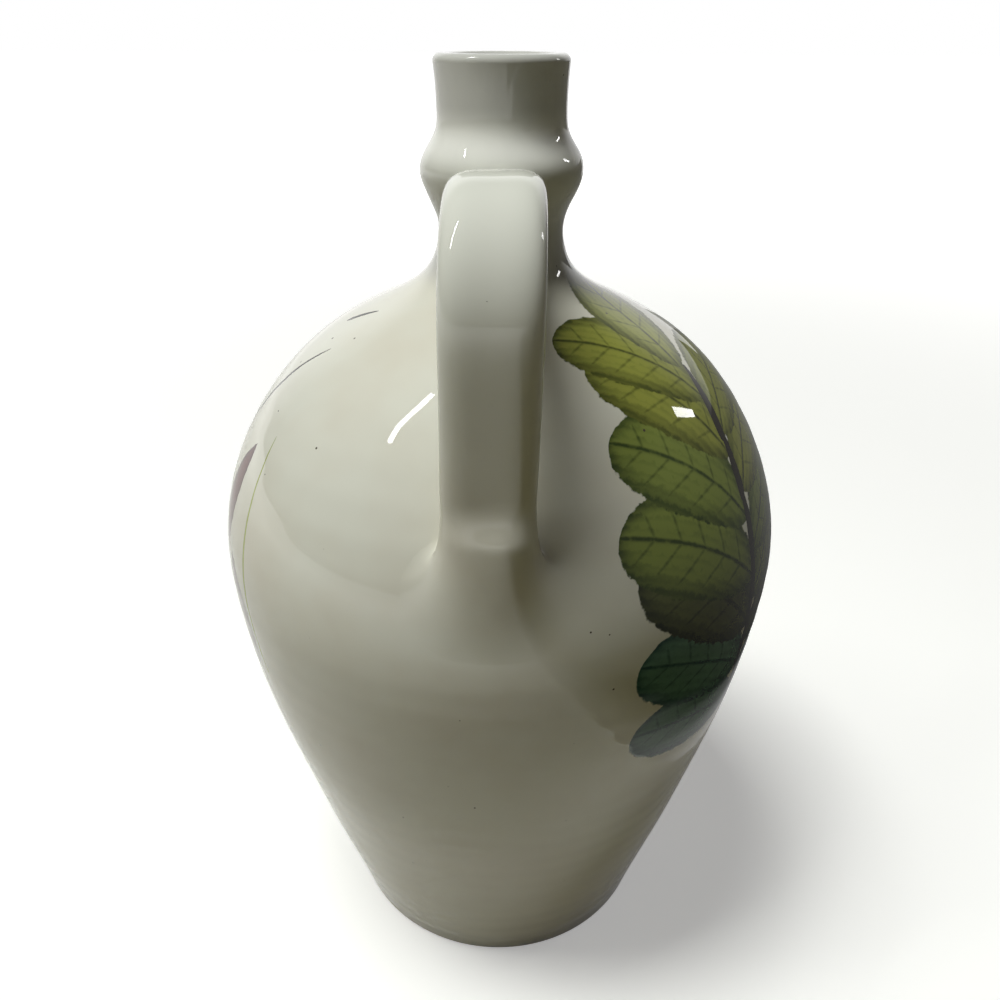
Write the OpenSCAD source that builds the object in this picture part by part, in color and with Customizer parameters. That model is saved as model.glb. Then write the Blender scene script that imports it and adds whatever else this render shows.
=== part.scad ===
// Handled vase in tin-glazed earthenware, 300 mm tall.
// A thrown belly, a thrown neck set on its rim, a clay coil smoothed into the corner between them,
// and a pulled strap handle whose two ends are bedded in clay roots on the collar and the shoulder.
// Millimetres, +Z up, origin at the centre of the flat foot. The handle stands towards -Y.

/* [Belly] */
// Radius of the flat foot
foot_r = 58.5; // [52:0.5:65]
// Small bevel round the foot's edge
foot_bevel = 1.5; // [0.5:0.1:3]
// Outward lean of the wall at the foot, in degrees from upright
foot_lean = 15; // [10:0.5:20]
// Tangent length of the wall's curve at the foot
foot_tangent = 47; // [35:1:60]
// Radius at the widest part of the belly
belly_r = 91.4; // [85:0.2:98]
// Height of the widest part above the foot
belly_h = 154; // [140:1:170]
// Tangent length of the curve just below the widest part
belly_tangent_low = 39; // [28:1:50]
// Tangent length of the curve just above the widest part
belly_tangent_high = 31; // [24:1:38]
// Radius at the turn of the shoulder
shoulder_r = 65; // [60:0.5:70]
// Rise from the widest part to the turn of the shoulder
shoulder_rise = 60.6; // [54:0.2:68]
// Slope of the shoulder at its turn, in degrees from upright
shoulder_slope = 45.7; // [40:0.1:50]
// Tangent length of the curve below the turn of the shoulder
shoulder_tangent_low = 11; // [6:0.5:16]
// Tangent length of the curve above the turn of the shoulder
shoulder_tangent_high = 16.2; // [10:0.2:20]
// Radius of the rim that the neck and its coil sit on
rim_r = 33; // [29:0.5:37]
// Rise from the turn of the shoulder to the rim
rim_rise = 20; // [17:0.5:24]
// Slope of the wall at the rim, in degrees from upright
rim_slope = 63.3; // [58:0.1:68]
// Tangent length of the curve on both sides of the rim
rim_tangent = 9.8; // [6:0.2:12]
// Thickness of the thrown wall
wall = 6; // [4:0.5:8]
// Thickness of the floor
floor_t = 9; // [6:0.5:13]
// Radius of the inside corner between floor and wall
floor_round = 14; // [6:1:20]
// Thickness of the shoulder under the neck
rim_t = 7; // [5:0.5:9]
// Radius of the hole through the shoulder under the neck
throat_r = 15; // [14.2:0.1:16.5]

/* [Neck] */
// Radius of the neck's bore
bore_r = 13; // [10:0.1:13.8]
// Radius of the neck's stem inside the coil
stem_r = 17; // [16.6:0.1:18]
// Radius of the waist under the collar
waist_r = 18.5; // [18.2:0.1:20]
// Rise from the rim to the waist
waist_rise = 20.7; // [17:0.1:25]
// Tangent length of the coil's curve below the waist
waist_tangent_low = 11.8; // [8:0.2:14]
// Tangent length of the collar's curve above the waist
waist_tangent_high = 4.1; // [2:0.1:6]
// Radius at the crest of the collar
collar_r = 23.8; // [22:0.2:26]
// Rise from the waist to the crest of the collar
collar_rise = 14.5; // [11:0.1:17]
// Tangent length of the collar's curve below its crest
collar_tangent_low = 4; // [2:0.1:6]
// Tangent length of the collar's curve above its crest
collar_tangent_high = 6.2; // [4:0.2:9]
// Radius of the neck above the collar
neck_r = 18.4; // [17.4:0.1:20]
// Rise from the crest of the collar to the straight neck
neck_rise = 13.1; // [11:0.1:17]
// Tangent length of the curve that runs into the straight neck
neck_tangent = 5.8; // [3:0.2:9]
// Length of the straight neck up to the top of the lip
neck_straight = 17.1; // [10:0.1:26]
// How far the lip swells beyond the neck
lip_swell = 0.8; // [0:0.1:1.2]
// Rounding of the lip's edges
lip_round = 2; // [1:0.1:2.2]

/* [Handle] */
// Width of the strap
strap_w = 23.2; // [18:0.2:27]
// Thickness of the strap
strap_t = 7.6; // [6:0.2:10]
// Squareness of the strap's section: 2 is an ellipse, higher is closer to a rectangle
strap_square = 3; // [2.4:0.1:6]
// Radius of the strap's bend, at the middle of its thickness
bend_r = 27; // [22:0.5:32]
// How far the top of the bend stands above the crest of the collar
strap_lift = 5.6; // [3:0.1:8]
// Climb of the strap as it leaves the collar, in degrees
strap_climb = 11; // [5:0.5:14]
// Inward lean of the strap as it comes down, in degrees
strap_lean = 3; // [0:0.2:6]
// Where the strap lands, as a fraction of the curve from the widest part to the shoulder
landing_at = 0.51; // [0.42:0.01:0.6]

/* [Roots] */
// Length of the upper root between the strap and the collar's crest
upper_root_l = 8; // [5:0.5:11]
// How far the upper root spreads on the collar past each edge of the strap
upper_spread_w = 2; // [1:0.5:5]
// How far the upper root spreads on the collar above and below the strap
upper_spread_h = 0.4; // [0.2:0.1:2]
// How far above the landing the lower root takes over from the strap
lower_root_lap = 9; // [6:0.5:14]
// How far the lower root spreads on the shoulder past each edge of the strap
lower_spread_w = 8; // [4:0.5:12]
// Where the sides of the lower root spread furthest, as a fraction of the landing's curve
spread_at = 0.36; // [0.3:0.01:0.45]
// How far the heel of the lower root spreads past each edge of the strap
heel_spread_w = 1; // [0:0.5:4]
// Where the heel of the lower root ends under the strap, as a fraction of the landing's curve
heel_at = 0.58; // [0.54:0.01:0.62]
// Where the tongue of the lower root ends on the belly, as a fraction of the landing's curve
tongue_at = 0.14; // [0.1:0.01:0.25]
// Angle at which a root's edge runs into the clay below it, in degrees
root_dip = 20; // [12:1:28]
// How far a root's edge lies under the skin of that clay, which cuts it off
root_sink = 0.8; // [0.5:0.1:1.5]
// Squareness of a root's edge on the clay, on the same scale as the strap's
root_square = 2.4; // [2:0.1:4]

/* [Hidden] */
$fn = 128;
glaze = "#DEDCD0";
curve_steps = 14;
collar_steps = 10;
arc_steps = 5;
ring_points = 32;
bend_rings = 20;
root_steps = 12;
// Share of each root line's span that its tangents take up at both ends
root_fullness = 0.4;
// How far a cut runs past the face that it opens
cut_over = 1;

// Heights, each one above the last
shoulder_z = belly_h + shoulder_rise;
rim_z = shoulder_z + rim_rise;
waist_z = rim_z + waist_rise;
collar_z = waist_z + collar_rise;
neck_z = collar_z + neck_rise;
top_z = neck_z + neck_straight;

// Turning points of the outline, as [radius, height]
foot = [foot_r, foot_bevel];
belly = [belly_r, belly_h];
shoulder = [shoulder_r, shoulder_z];
rim = [rim_r, rim_z];
waist = [waist_r, waist_z];
collar = [collar_r, collar_z];
neck_foot = [neck_r, neck_z];

// Direction in the outline's plane at an angle from upright, leaning away from the axis
function lean_out(angle) = [sin(angle), cos(angle)];

// Cubic curves of the outline, each as its four control points
lower_wall = [foot, foot + foot_tangent * lean_out(foot_lean), belly - [0, belly_tangent_low], belly];
upper_wall = [belly, belly + [0, belly_tangent_high],
              shoulder - shoulder_tangent_low * lean_out(-shoulder_slope), shoulder];
dome = [shoulder, shoulder + shoulder_tangent_high * lean_out(-shoulder_slope),
        rim - rim_tangent * lean_out(-rim_slope), rim];
coil_hollow = [rim, rim + rim_tangent * lean_out(-rim_slope), waist - [0, waist_tangent_low], waist];
collar_under = [waist, waist + [0, waist_tangent_high], collar - [0, collar_tangent_low], collar];
collar_over = [collar, collar + [0, collar_tangent_high], neck_foot - [0, neck_tangent], neck_foot];

// Point, unit tangent and outward normal of a cubic curve at t from 0 to 1
function at(c, t) =
    pow(1 - t, 3) * c[0] + 3 * t * pow(1 - t, 2) * c[1] + 3 * t * t * (1 - t) * c[2] + pow(t, 3) * c[3];
function slope_at(c, t) =
    pow(1 - t, 2) * (c[1] - c[0]) + 2 * t * (1 - t) * (c[2] - c[1]) + t * t * (c[3] - c[2]);
function along(c, t) = slope_at(c, t) / norm(slope_at(c, t));
function outward(c, t) = [along(c, t)[1], -along(c, t)[0]];

// Points of a curve after its first, moved inwards by depth
function trace(c, steps, depth = 0) =
    [for (i = [1:steps]) at(c, i / steps) - depth * outward(c, i / steps)];

// Quarter arc about a centre, from one angle to the next
function arc(centre, r, from, to, steps) =
    [for (i = [0:steps]) let (a = from + (to - from) * i / steps) centre + r * [cos(a), sin(a)]];

// Outside and inside of the belly's wall
body_outline = concat([foot], trace(lower_wall, curve_steps), trace(upper_wall, curve_steps),
                      trace(dome, curve_steps));
inner_outline = concat(trace(lower_wall, curve_steps, wall), trace(upper_wall, curve_steps, wall),
                       trace(dome, curve_steps, wall));
inner_radii = [for (p = inner_outline) [p[1], p[0]]];
function inner_r(z) = lookup(z, inner_radii);
ceiling_z = rim_z - rim_t;
floor_corner = [inner_r(floor_t), floor_t];
floor_fillet = [floor_corner - [floor_round, 0], floor_corner, floor_corner,
                [inner_r(floor_t + floor_round), floor_t + floor_round]];

// Outside of the neck from its seat on the rim to the start of the lip, and its radius at a height
neck_outline = concat([[stem_r, rim_z], [stem_r, waist_z], waist], trace(collar_under, collar_steps),
                      trace(collar_over, collar_steps));
neck_radii = [for (p = concat([waist], trace(collar_under, collar_steps), trace(collar_over, collar_steps)))
    [p[1], p[0]]];
function neck_r_at(z) = lookup(z, neck_radii);

// Rounded ring of points from -1 to 1 both ways: the strap's section, and the edge of a root on the clay
function power(v, exponent) = sign(v) * pow(abs(v), exponent);
function round_ring(square) = [for (i = [0:ring_points - 1])
    let (a = 360 * i / ring_points) [power(cos(a), 2 / square), power(sin(a), 2 / square)]];
strap_section = round_ring(strap_square);
root_edge = round_ring(root_square);

// The strap's middle line lies in the plane x = 0, as [distance out from the axis, height]
landing = at(upper_wall, landing_at);
bend_z = collar_z + strap_lift - bend_r;
bend_out = landing[0] + strap_t / 2 - bend_r * cos(strap_lean)
         + (bend_z - bend_r * sin(strap_lean) - landing[1]) * tan(strap_lean);
bend_start = [bend_out - bend_r * sin(strap_climb), bend_z + bend_r * cos(strap_climb)];
bend_end = [bend_out + bend_r * cos(strap_lean), bend_z - bend_r * sin(strap_lean)];
upper_l = (bend_start[0] - collar_r - upper_root_l) / cos(strap_climb);
lower_l = (bend_end[1] - landing[1]) / cos(strap_lean) - lower_root_lap;
to_neck = [-cos(strap_climb), -sin(strap_climb)];
to_landing = -lean_out(strap_lean);
strap_start = bend_start + upper_l * to_neck;
strap_end = bend_end + lower_l * to_landing;
upper_ring = strap_ring(strap_start, -to_neck);
lower_ring = strap_ring(strap_end, to_landing);

// A direction of the handle's plane, as [out, up], in space
function in_plane(d) = [0, -d[0], d[1]];

// The section standing in space at a point of the middle line, square to its heading
function strap_ring(point, heading) =
    [for (u = strap_section)
        [u[0] * strap_w / 2, 0, 0] + in_plane(point + u[1] * strap_t / 2 * [-heading[1], heading[0]])];

// The point of a turned outline that lies x sideways of the handle's plane
function on_turned(x, p) = [x, -sqrt(p[0] * p[0] - x * x), p[1]];

// A direction of the outline's plane, swung about the axis to where the point q stands
function swung(d, q) = let (r = norm([q[0], q[1]])) [d[0] * q[0] / r, d[0] * q[1] / r, d[1]];

function unit(v) = v / norm(v);

// Rings of a root, from an end of the strap to its seat on the clay. A line from each point of the strap's
// section leaves along the strap and runs out on the seat, away from its middle. Each seat holds a point
// of the clay's outline, the upward direction there and the root's spread past the strap's edge; face_up
// is 1 where the strap's outer face runs out upwards and -1 where it runs out downwards.
function root_rings(ring, leave, seats, face_up) =
    [for (k = [0:root_steps]) [for (i = [0:ring_points - 1])
        let (u = root_edge[i],
             up = seats[i][1],
             out = [up[1], -up[0]],
             end = on_turned(u[0] * (strap_w / 2 + seats[i][2]), seats[i][0] - root_sink * out),
             sideways = unit([-end[1], end[0], 0]),
             run = unit(u[0] * sideways + face_up * u[1] * swung(up, end)),
             dive = cos(root_dip) * run - sin(root_dip) * swung(out, end),
             reach = root_fullness * norm(end - ring[i]))
        at([ring[i], ring[i] + reach * leave, end - reach * dive, end], k / root_steps)]];

// Middle of a ring of points
function middle(ring) = [for (k = [0:2]) [for (p = ring) p[k]] * [for (p = ring) 1 / len(ring)]];

// Closed solid through a row of rings with equal counts of points, with a fan over each end
module skin(rings) {
    n = len(rings[0]);
    last = (len(rings) - 1) * n;
    first_middle = last + n;
    sides = [for (i = [0:n:last - n], j = [0:n - 1])
        let (a = i + j, b = i + (j + 1) % n)
        each [[a, b + n, b], [a, a + n, b + n]]];
    ends = [for (j = [0:n - 1])
        let (k = (j + 1) % n)
        each [[first_middle, j, k], [first_middle + 1, last + k, last + j]]];
    polyhedron(points = concat([for (r = rings) each r], [middle(rings[0]), middle(rings[len(rings) - 1])]),
               faces = concat(sides, ends));
}

// The belly's outside as one solid, without its hollow
module body_filled() {
    rotate_extrude()
        polygon(concat([[0, 0], [foot_r - foot_bevel, 0]], body_outline, [[0, rim_z]]));
}

module body() {
    hollow = concat([[0, floor_t]], [floor_fillet[0]], trace(floor_fillet, arc_steps),
                    [for (p = inner_outline)
                        if (p[1] > floor_t + floor_round + cut_over && p[1] < ceiling_z - cut_over) p],
                    [[inner_r(ceiling_z), ceiling_z], [0, ceiling_z]]);
    color(glaze)
    difference() {
        body_filled();
        rotate_extrude() polygon(hollow);
        translate([0, 0, ceiling_z - cut_over]) cylinder(r = throat_r, h = rim_t + 2 * cut_over);
    }
}

// Rounded lip, from its outer edge over to the bore
function lip_outline() =
    concat(arc([neck_r + lip_swell - lip_round, top_z - lip_round], lip_round, 0, 90, arc_steps),
           arc([bore_r + lip_round, top_z - lip_round], lip_round, 90, 180, arc_steps));

module neck() {
    color(glaze)
    rotate_extrude()
        polygon(concat(neck_outline, lip_outline(), [[bore_r, rim_z]]));
}

module neck_filled() {
    rotate_extrude()
        polygon(concat(neck_outline, [[neck_r, top_z], [0, top_z], [0, rim_z]]));
}

module neck_coil() {
    color(glaze)
    rotate_extrude()
        polygon(concat([[stem_r, rim_z], rim], trace(coil_hollow, curve_steps), [[stem_r, waist_z]]));
}

module handle() {
    bend_sweep = 90 + strap_climb + strap_lean;
    bend = [for (k = [0:bend_rings])
        let (a = 90 + strap_climb - bend_sweep * k / bend_rings)
        strap_ring([bend_out, bend_z] + bend_r * [cos(a), sin(a)], [sin(a), -cos(a)])];
    color(glaze)
    skin(concat([upper_ring], bend, [lower_ring]));
}

module upper_root() {
    seat_z = strap_start[1] - upper_root_l * tan(strap_climb);
    seats = [for (u = root_edge)
        let (z = seat_z + u[1] * (strap_t / 2 + upper_spread_h))
        [[neck_r_at(z), z], unit([neck_r_at(z + root_sink) - neck_r_at(z - root_sink), 2 * root_sink]),
         upper_spread_w]];
    color(glaze)
    difference() {
        skin(root_rings(upper_ring, in_plane(to_neck), seats, 1));
        neck_filled();
    }
}

module lower_root() {
    seats = [for (u = root_edge)
        let (t = spread_at + abs(u[1]) * ((u[1] > 0 ? tongue_at : heel_at) - spread_at),
             spread = lower_spread_w + max(0, -u[1]) * (heel_spread_w - lower_spread_w))
        [at(upper_wall, t), along(upper_wall, t), spread]];
    color(glaze)
    difference() {
        skin(root_rings(lower_ring, in_plane(to_landing), seats, -1));
        body_filled();
    }
}

body();
neck();
neck_coil();
handle();
upper_root();
lower_root();
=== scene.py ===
"""Looks of a handled vase in tin-glazed earthenware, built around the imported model.

The vase is six clay pieces: a thrown belly, a thrown neck, the coil that joins them, a pulled strap handle
and the two roots that bed the strap. Shapes are worked out in millimetres in the model's own frame: +Z is
up, the foot's centre is the origin and the handle stands towards -Y. An azimuth is measured in degrees
from -Y towards +X.
"""
import logging
import math
from dataclasses import dataclass, field
from enum import Enum
from functools import partial

import bpy
import numpy as np
from bpy.types import Material, NodeSocket, NodeTree, Object
from mathutils import Matrix, Vector


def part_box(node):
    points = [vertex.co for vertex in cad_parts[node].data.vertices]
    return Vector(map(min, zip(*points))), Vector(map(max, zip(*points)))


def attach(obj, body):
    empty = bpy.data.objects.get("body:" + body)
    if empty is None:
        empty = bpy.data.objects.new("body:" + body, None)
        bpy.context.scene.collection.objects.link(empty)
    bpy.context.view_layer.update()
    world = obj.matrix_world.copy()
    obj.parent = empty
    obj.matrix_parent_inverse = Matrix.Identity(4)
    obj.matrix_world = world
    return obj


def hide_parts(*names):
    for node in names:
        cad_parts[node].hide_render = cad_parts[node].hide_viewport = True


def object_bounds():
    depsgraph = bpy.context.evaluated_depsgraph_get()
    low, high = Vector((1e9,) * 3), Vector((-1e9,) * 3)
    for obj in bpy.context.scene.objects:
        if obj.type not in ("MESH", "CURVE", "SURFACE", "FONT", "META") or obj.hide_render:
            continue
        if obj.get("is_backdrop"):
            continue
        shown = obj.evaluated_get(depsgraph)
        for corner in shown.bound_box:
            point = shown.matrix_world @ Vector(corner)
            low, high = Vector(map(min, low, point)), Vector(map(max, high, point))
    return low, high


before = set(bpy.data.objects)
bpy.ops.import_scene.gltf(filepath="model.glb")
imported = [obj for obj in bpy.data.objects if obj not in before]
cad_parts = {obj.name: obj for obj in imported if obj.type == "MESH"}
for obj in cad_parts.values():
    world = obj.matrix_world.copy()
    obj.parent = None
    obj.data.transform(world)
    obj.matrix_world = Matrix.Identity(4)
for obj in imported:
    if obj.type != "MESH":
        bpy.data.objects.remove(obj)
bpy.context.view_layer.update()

LOG = logging.getLogger("vase")
MM = 0.001
BODY_NAME = "root"
SHARP_ANGLE = 40.0
WHITE = "#FFFFFF"
SMOOTHSTEP = {"interpolation_type": "SMOOTHSTEP"}
UNCLAMPED = {**SMOOTHSTEP, "clamp": False}  # smoothstep keeps to its limits without a clamp
RGBA = {"data_type": "RGBA"}
Array = np.ndarray
Pair = tuple[float, float]
Grid = tuple[Array, list[Array], bool]


class Piece(Enum):
    """The vase's clay pieces, by the names of the nodes that they stand for."""

    BODY = "body"
    NECK = "neck"
    NECK_COIL = "neck_coil"
    HANDLE = "handle"
    UPPER_ROOT = "upper_root"
    LOWER_ROOT = "lower_root"


PAINTED = (Piece.BODY, Piece.NECK_COIL)


def box_mm(piece: Piece) -> tuple[Vector, Vector]:
    """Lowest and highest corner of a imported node, in millimetres."""
    low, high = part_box(piece.value)
    return low / MM, high / MM


def unit(vectors: Array) -> Array:
    """Vectors scaled to length 1 along their last axis."""
    return vectors / np.linalg.norm(vectors, axis=-1, keepdims=True)


def eased(count: int) -> Array:
    """Parameters from 0 to 1 that lie closest at both ends, as the cosine of a steady angle."""
    return 0.5 - 0.5 * np.cos(np.linspace(0.0, math.pi, count))


def smoothstep(share: Array) -> Array:
    """Shares from 0 to 1, eased at both ends: three times the square less twice the cube."""
    return share**2 * (3 - 2 * share)


def cubic(controls: Array, t: Array) -> Array:
    """Points of cubic Bezier curves: the four controls weighted by the Bernstein polynomials of t.

    Args:
        controls: Four control points, as an array whose first axis is 4.
        t: Parameters from 0 to 1.

    Returns:
        Points, with t as the first axis and then the axes of one control.
    """
    weights = np.stack([(1 - t) ** 3, 3 * t * (1 - t) ** 2, 3 * t * t * (1 - t), t**3], axis=-1)
    return np.tensordot(weights, controls, axes=1)


def lean_out(degrees: float) -> Array:
    """Direction in the outline's plane at an angle from upright, leaning away from the axis."""
    return np.array([math.sin(math.radians(degrees)), math.cos(math.radians(degrees))])


def arc(centre: Pair, radius: float, start: float, end: float, count: int) -> Array:
    """Points of a circular arc about a centre, from one angle to another in degrees."""
    angle = np.radians(np.linspace(start, end, count))
    return np.array(centre) + radius * np.stack([np.cos(angle), np.sin(angle)], axis=-1)


def superellipse(square: float, count: int) -> Array:
    """Points from -1 to 1 both ways: powers of the cosine and sine of a steady angle, 2 over square."""
    round_points = arc((0.0, 0.0), 1.0, 0.0, 360.0, count + 1)[:-1]
    return np.sign(round_points) * np.abs(round_points) ** (2 / square)


def softened(values: Array, step: float, spread: float, reach: int, **ends) -> Array:
    """Values in even steps, averaged with their neighbours by the weights of a bell curve.

    Args:
        values: The values.
        step: Distance from one value to the next.
        spread: Standard deviation of the bell curve.
        reach: How many deviations of the curve count.
        ends: How numpy's pad carries the values on beyond their ends.

    Returns:
        As many values, smoothed.
    """
    count = int(reach * spread / step)
    weights = np.exp(-0.5 * (np.arange(-count, count + 1) * step / spread) ** 2)
    return np.convolve(np.pad(values, count, **ends), weights / weights.sum(), mode="valid")


def add_object(name: str, data: bpy.types.ID) -> Object:
    """Adds an object at the origin, linked to the scene.

    Args:
        name: Name of the object.
        data: Its mesh, light or camera.

    Returns:
        The new object.
    """
    made = bpy.data.objects.new(name, data)
    bpy.context.scene.collection.objects.link(made)
    return made


def make_object(name: str, grid: Array, poles: list[Array], loop: bool = False) -> Object:
    """Closed mesh over a grid of points: each row is a ring, and neighbouring rings are joined by quads.

    Args:
        name: Name of the object and of its mesh.
        grid: Points in millimetres, as rings by points by 3, with outward faces where rings run upwards
            and points run from -Y towards +X.
        poles: Nothing, or the points that close the first and the last ring by fans.
        loop: Whether the last ring also joins the first.

    Returns:
        The new object, linked to the scene, at the origin.
    """
    rings, count = grid.shape[:2]
    points = np.concatenate([grid.reshape(-1, 3), *(pole[None] for pole in poles)])
    low = np.arange(rings if loop else rings - 1)[:, None] * count
    high = (low + count) % (rings * count)
    here = np.arange(count)
    after = np.roll(here, -1)
    faces = np.stack([low + here, low + after, high + after, high + here], axis=-1).reshape(-1, 4).tolist()
    if poles:
        first, last = rings * count, rings * count + 1
        top = (rings - 1) * count
        faces += np.stack([np.full(count, first), after, here], axis=-1).tolist()
        faces += np.stack([np.full(count, last), top + here, top + after], axis=-1).tolist()
    mesh = bpy.data.meshes.new(name)
    mesh.from_pydata((points * MM).tolist(), [], faces)
    mesh.shade_smooth()
    mesh.set_sharp_from_angle(angle=math.radians(SHARP_ANGLE))
    return add_object(name, mesh)


@dataclass(frozen=True)
class Throwing:
    """Small unevenness that a hand-thrown pot keeps, as an offset of its radius in millimetres."""

    out_of_round: float = 0.22
    oval_turn: float = 0.7
    ring_depth: float = 0.05
    ring_pitch: float = 9.0
    ring_climb: float = 1.0
    ring_swell: Pair = (0.6, 0.4)
    drift: float = 0.12
    drift_lobes: int = 3
    drift_height: float = 62.0

    def offset(self, azimuth: Array, z: Array) -> Array:
        """Offset of the radius: an oval, a drift that turns with height and a shallow throwing spiral.

        Args:
            azimuth: Azimuths in radians.
            z: Heights in millimetres.

        Returns:
            Offsets in millimetres, positive outwards.
        """
        oval = self.out_of_round * np.cos(2 * azimuth + self.oval_turn)
        drift = self.drift * np.sin(azimuth * self.drift_lobes + math.tau * z / self.drift_height)
        turns = z / self.ring_pitch - self.ring_climb * azimuth / math.tau
        swell = self.ring_swell[0] + self.ring_swell[1] * np.sin(math.tau * z / self.drift_height)
        return oval + drift + self.ring_depth * swell * np.sin(math.tau * turns)


@dataclass(frozen=True)
class Outline:
    """Outside of the vase as radius and height, from the foot's edge up to the neck's lip.

    Six cubic curves share their tangents where they meet. A light smoothing then rounds off the changes of
    curvature, so that reflections in the glaze run on from one clay piece to the next.
    """

    belly_r: float
    rim_r: float
    rim_z: float
    waist_z: float
    collar_r: float
    top_z: float
    foot_r: float = 58.5
    foot_round: float = 1.5
    foot_lean: float = 15.0
    foot_tangent: float = 47.0
    belly_z: float = 154.0
    belly_tangents: Pair = (39.0, 31.0)
    shoulder: Pair = (65.0, 214.6)
    shoulder_slope: float = 45.7
    shoulder_tangents: Pair = (11.0, 16.2)
    rim_slope: float = 63.3
    rim_tangent: float = 9.8
    waist_r: float = 18.5
    waist_tangents: Pair = (11.8, 4.1)
    collar_z: float = 270.2
    collar_tangents: Pair = (4.0, 6.2)
    neck_r: float = 18.4
    neck_z: float = 283.5
    neck_tangent: float = 5.8
    lip_flare: float = 0.8
    lip_flare_h: float = 12.0
    smoothing: float = 1.6
    smoothing_reach: int = 4
    step: float = 0.2
    curve_points: int = 400
    finer: int = 4
    throwing: Throwing = field(default_factory=Throwing)

    @classmethod
    def of_frame(cls) -> "Outline":
        """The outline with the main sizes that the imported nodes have."""
        body, coil, neck = (box_mm(p)[1] for p in (Piece.BODY, Piece.NECK_COIL, Piece.NECK))
        return cls(belly_r=body.x, rim_r=coil.x, rim_z=body.z, waist_z=coil.z, collar_r=neck.x, top_z=neck.z)

    def curves(self) -> list[Array]:
        """Control points of the six curves, from the foot to the straight neck.

        Returns:
            Four points for each curve, as radius and height.
        """
        foot, belly = np.array([self.foot_r, self.foot_round]), np.array([self.belly_r, self.belly_z])
        shoulder, rim = np.array(self.shoulder), np.array([self.rim_r, self.rim_z])
        waist, collar = np.array([self.waist_r, self.waist_z]), np.array([self.collar_r, self.collar_z])
        neck, up = np.array([self.neck_r, self.neck_z]), np.array([0.0, 1.0])
        on_shoulder, on_rim = lean_out(-self.shoulder_slope), lean_out(-self.rim_slope)
        stops = [
            (foot, self.foot_tangent * lean_out(self.foot_lean), self.belly_tangents[0] * up, belly),
            (belly, self.belly_tangents[1] * up, self.shoulder_tangents[0] * on_shoulder, shoulder),
            (shoulder, self.shoulder_tangents[1] * on_shoulder, self.rim_tangent * on_rim, rim),
            (rim, self.rim_tangent * on_rim, self.waist_tangents[0] * up, waist),
            (waist, self.waist_tangents[1] * up, self.collar_tangents[0] * up, collar),
            (collar, self.collar_tangents[1] * up, self.neck_tangent * up, neck),
        ]
        return [np.stack([a, a + leave, b - arrive, b]) for a, leave, arrive, b in stops]

    def table(self) -> tuple[Array, Array]:
        """The outline in even steps of height, smoothed, with the neck's flare towards its lip.

        Returns:
            Heights, and the radius at each.
        """
        t = np.linspace(0.0, 1.0, self.curve_points)
        run = np.concatenate([cubic(curve, t) for curve in self.curves()])
        z = np.arange(self.foot_round, self.top_z, self.step)
        flare = np.clip((z - self.top_z + self.lip_flare_h) / self.lip_flare_h, 0.0, 1.0) ** 2
        raw = np.interp(z, run[:, 1], run[:, 0]) + self.lip_flare * flare
        return z, softened(raw, self.step, self.smoothing, self.smoothing_reach, mode="reflect",
                           reflect_type="odd")

    def radius(self, z: Array) -> Array:
        """Radius of the outside at each height."""
        return np.interp(z, *self.table())

    def slope(self, z: Array) -> Array:
        """Change of radius with height, as a central difference."""
        return (self.radius(z + self.step) - self.radius(z - self.step)) / (2 * self.step)

    def stretch(self, low: float, high: float, count: int) -> Array:
        """Points of the outside between two heights, spaced along the curve and closest at its ends.

        Args:
            low: Height of the first point.
            high: Height of the last point.
            count: How many points.

        Returns:
            Radii and heights, as an array of count by 2.
        """
        z = np.linspace(low, high, self.finer * count)
        r = self.radius(z)
        length = np.concatenate([[0.0], np.cumsum(np.hypot(np.diff(r), np.diff(z)))])
        at = np.interp(eased(count) * length[-1], length, z)
        return np.stack([self.radius(at), at], axis=-1)

    def turned(self, profile: Array, count: int) -> Array:
        """A profile turned about the axis: radius plus the thrown unevenness, carried round the circle.

        Args:
            profile: Radii and heights, as an array of rings by 2.
            count: Points round the circle.

        Returns:
            Points as rings by count by 3.
        """
        azimuth = np.linspace(0.0, math.tau, count, endpoint=False)[None, :]
        r, z = profile[:, :1], profile[:, 1:]
        r = r + self.throwing.offset(azimuth, z)
        return np.stack([r * np.sin(azimuth), -r * np.cos(azimuth), z + 0 * azimuth], axis=-1)

    def surface(self, azimuth: Array, z: Array) -> tuple[Array, Array, Array]:
        """Points of the outside, with the upward and outward unit directions there.

        Args:
            azimuth: Azimuths in radians.
            z: Heights in millimetres.

        Returns:
            Points, upward directions along the meridian and outward normals.
        """
        r = self.radius(z) + self.throwing.offset(azimuth, z)
        away = np.stack([np.sin(azimuth), -np.cos(azimuth), 0 * azimuth], axis=-1)
        axis = np.array([0.0, 0.0, 1.0])
        slope = self.slope(z)[..., None]
        points = r[..., None] * away + z[..., None] * axis
        return points, unit(slope * away + axis), unit(away - slope * axis)

    def walk(self, start: Pair, heading: float, distance: float) -> Pair:
        """Azimuth and height of the point that lies a short way along the pot's skin from another.

        Args:
            start: Azimuth in degrees and height in millimetres.
            heading: Direction in degrees, 0 to the right and 90 up.
            distance: Length of the way in millimetres.

        Returns:
            Azimuth in degrees and height in millimetres.
        """
        azimuth, z = start
        r, slope = float(self.radius(np.array(z))), float(self.slope(np.array(z)))
        turn = math.radians(heading)
        return (azimuth + math.degrees(distance * math.cos(turn) / r),
                z + distance * math.sin(turn) / math.hypot(1.0, slope))


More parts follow.
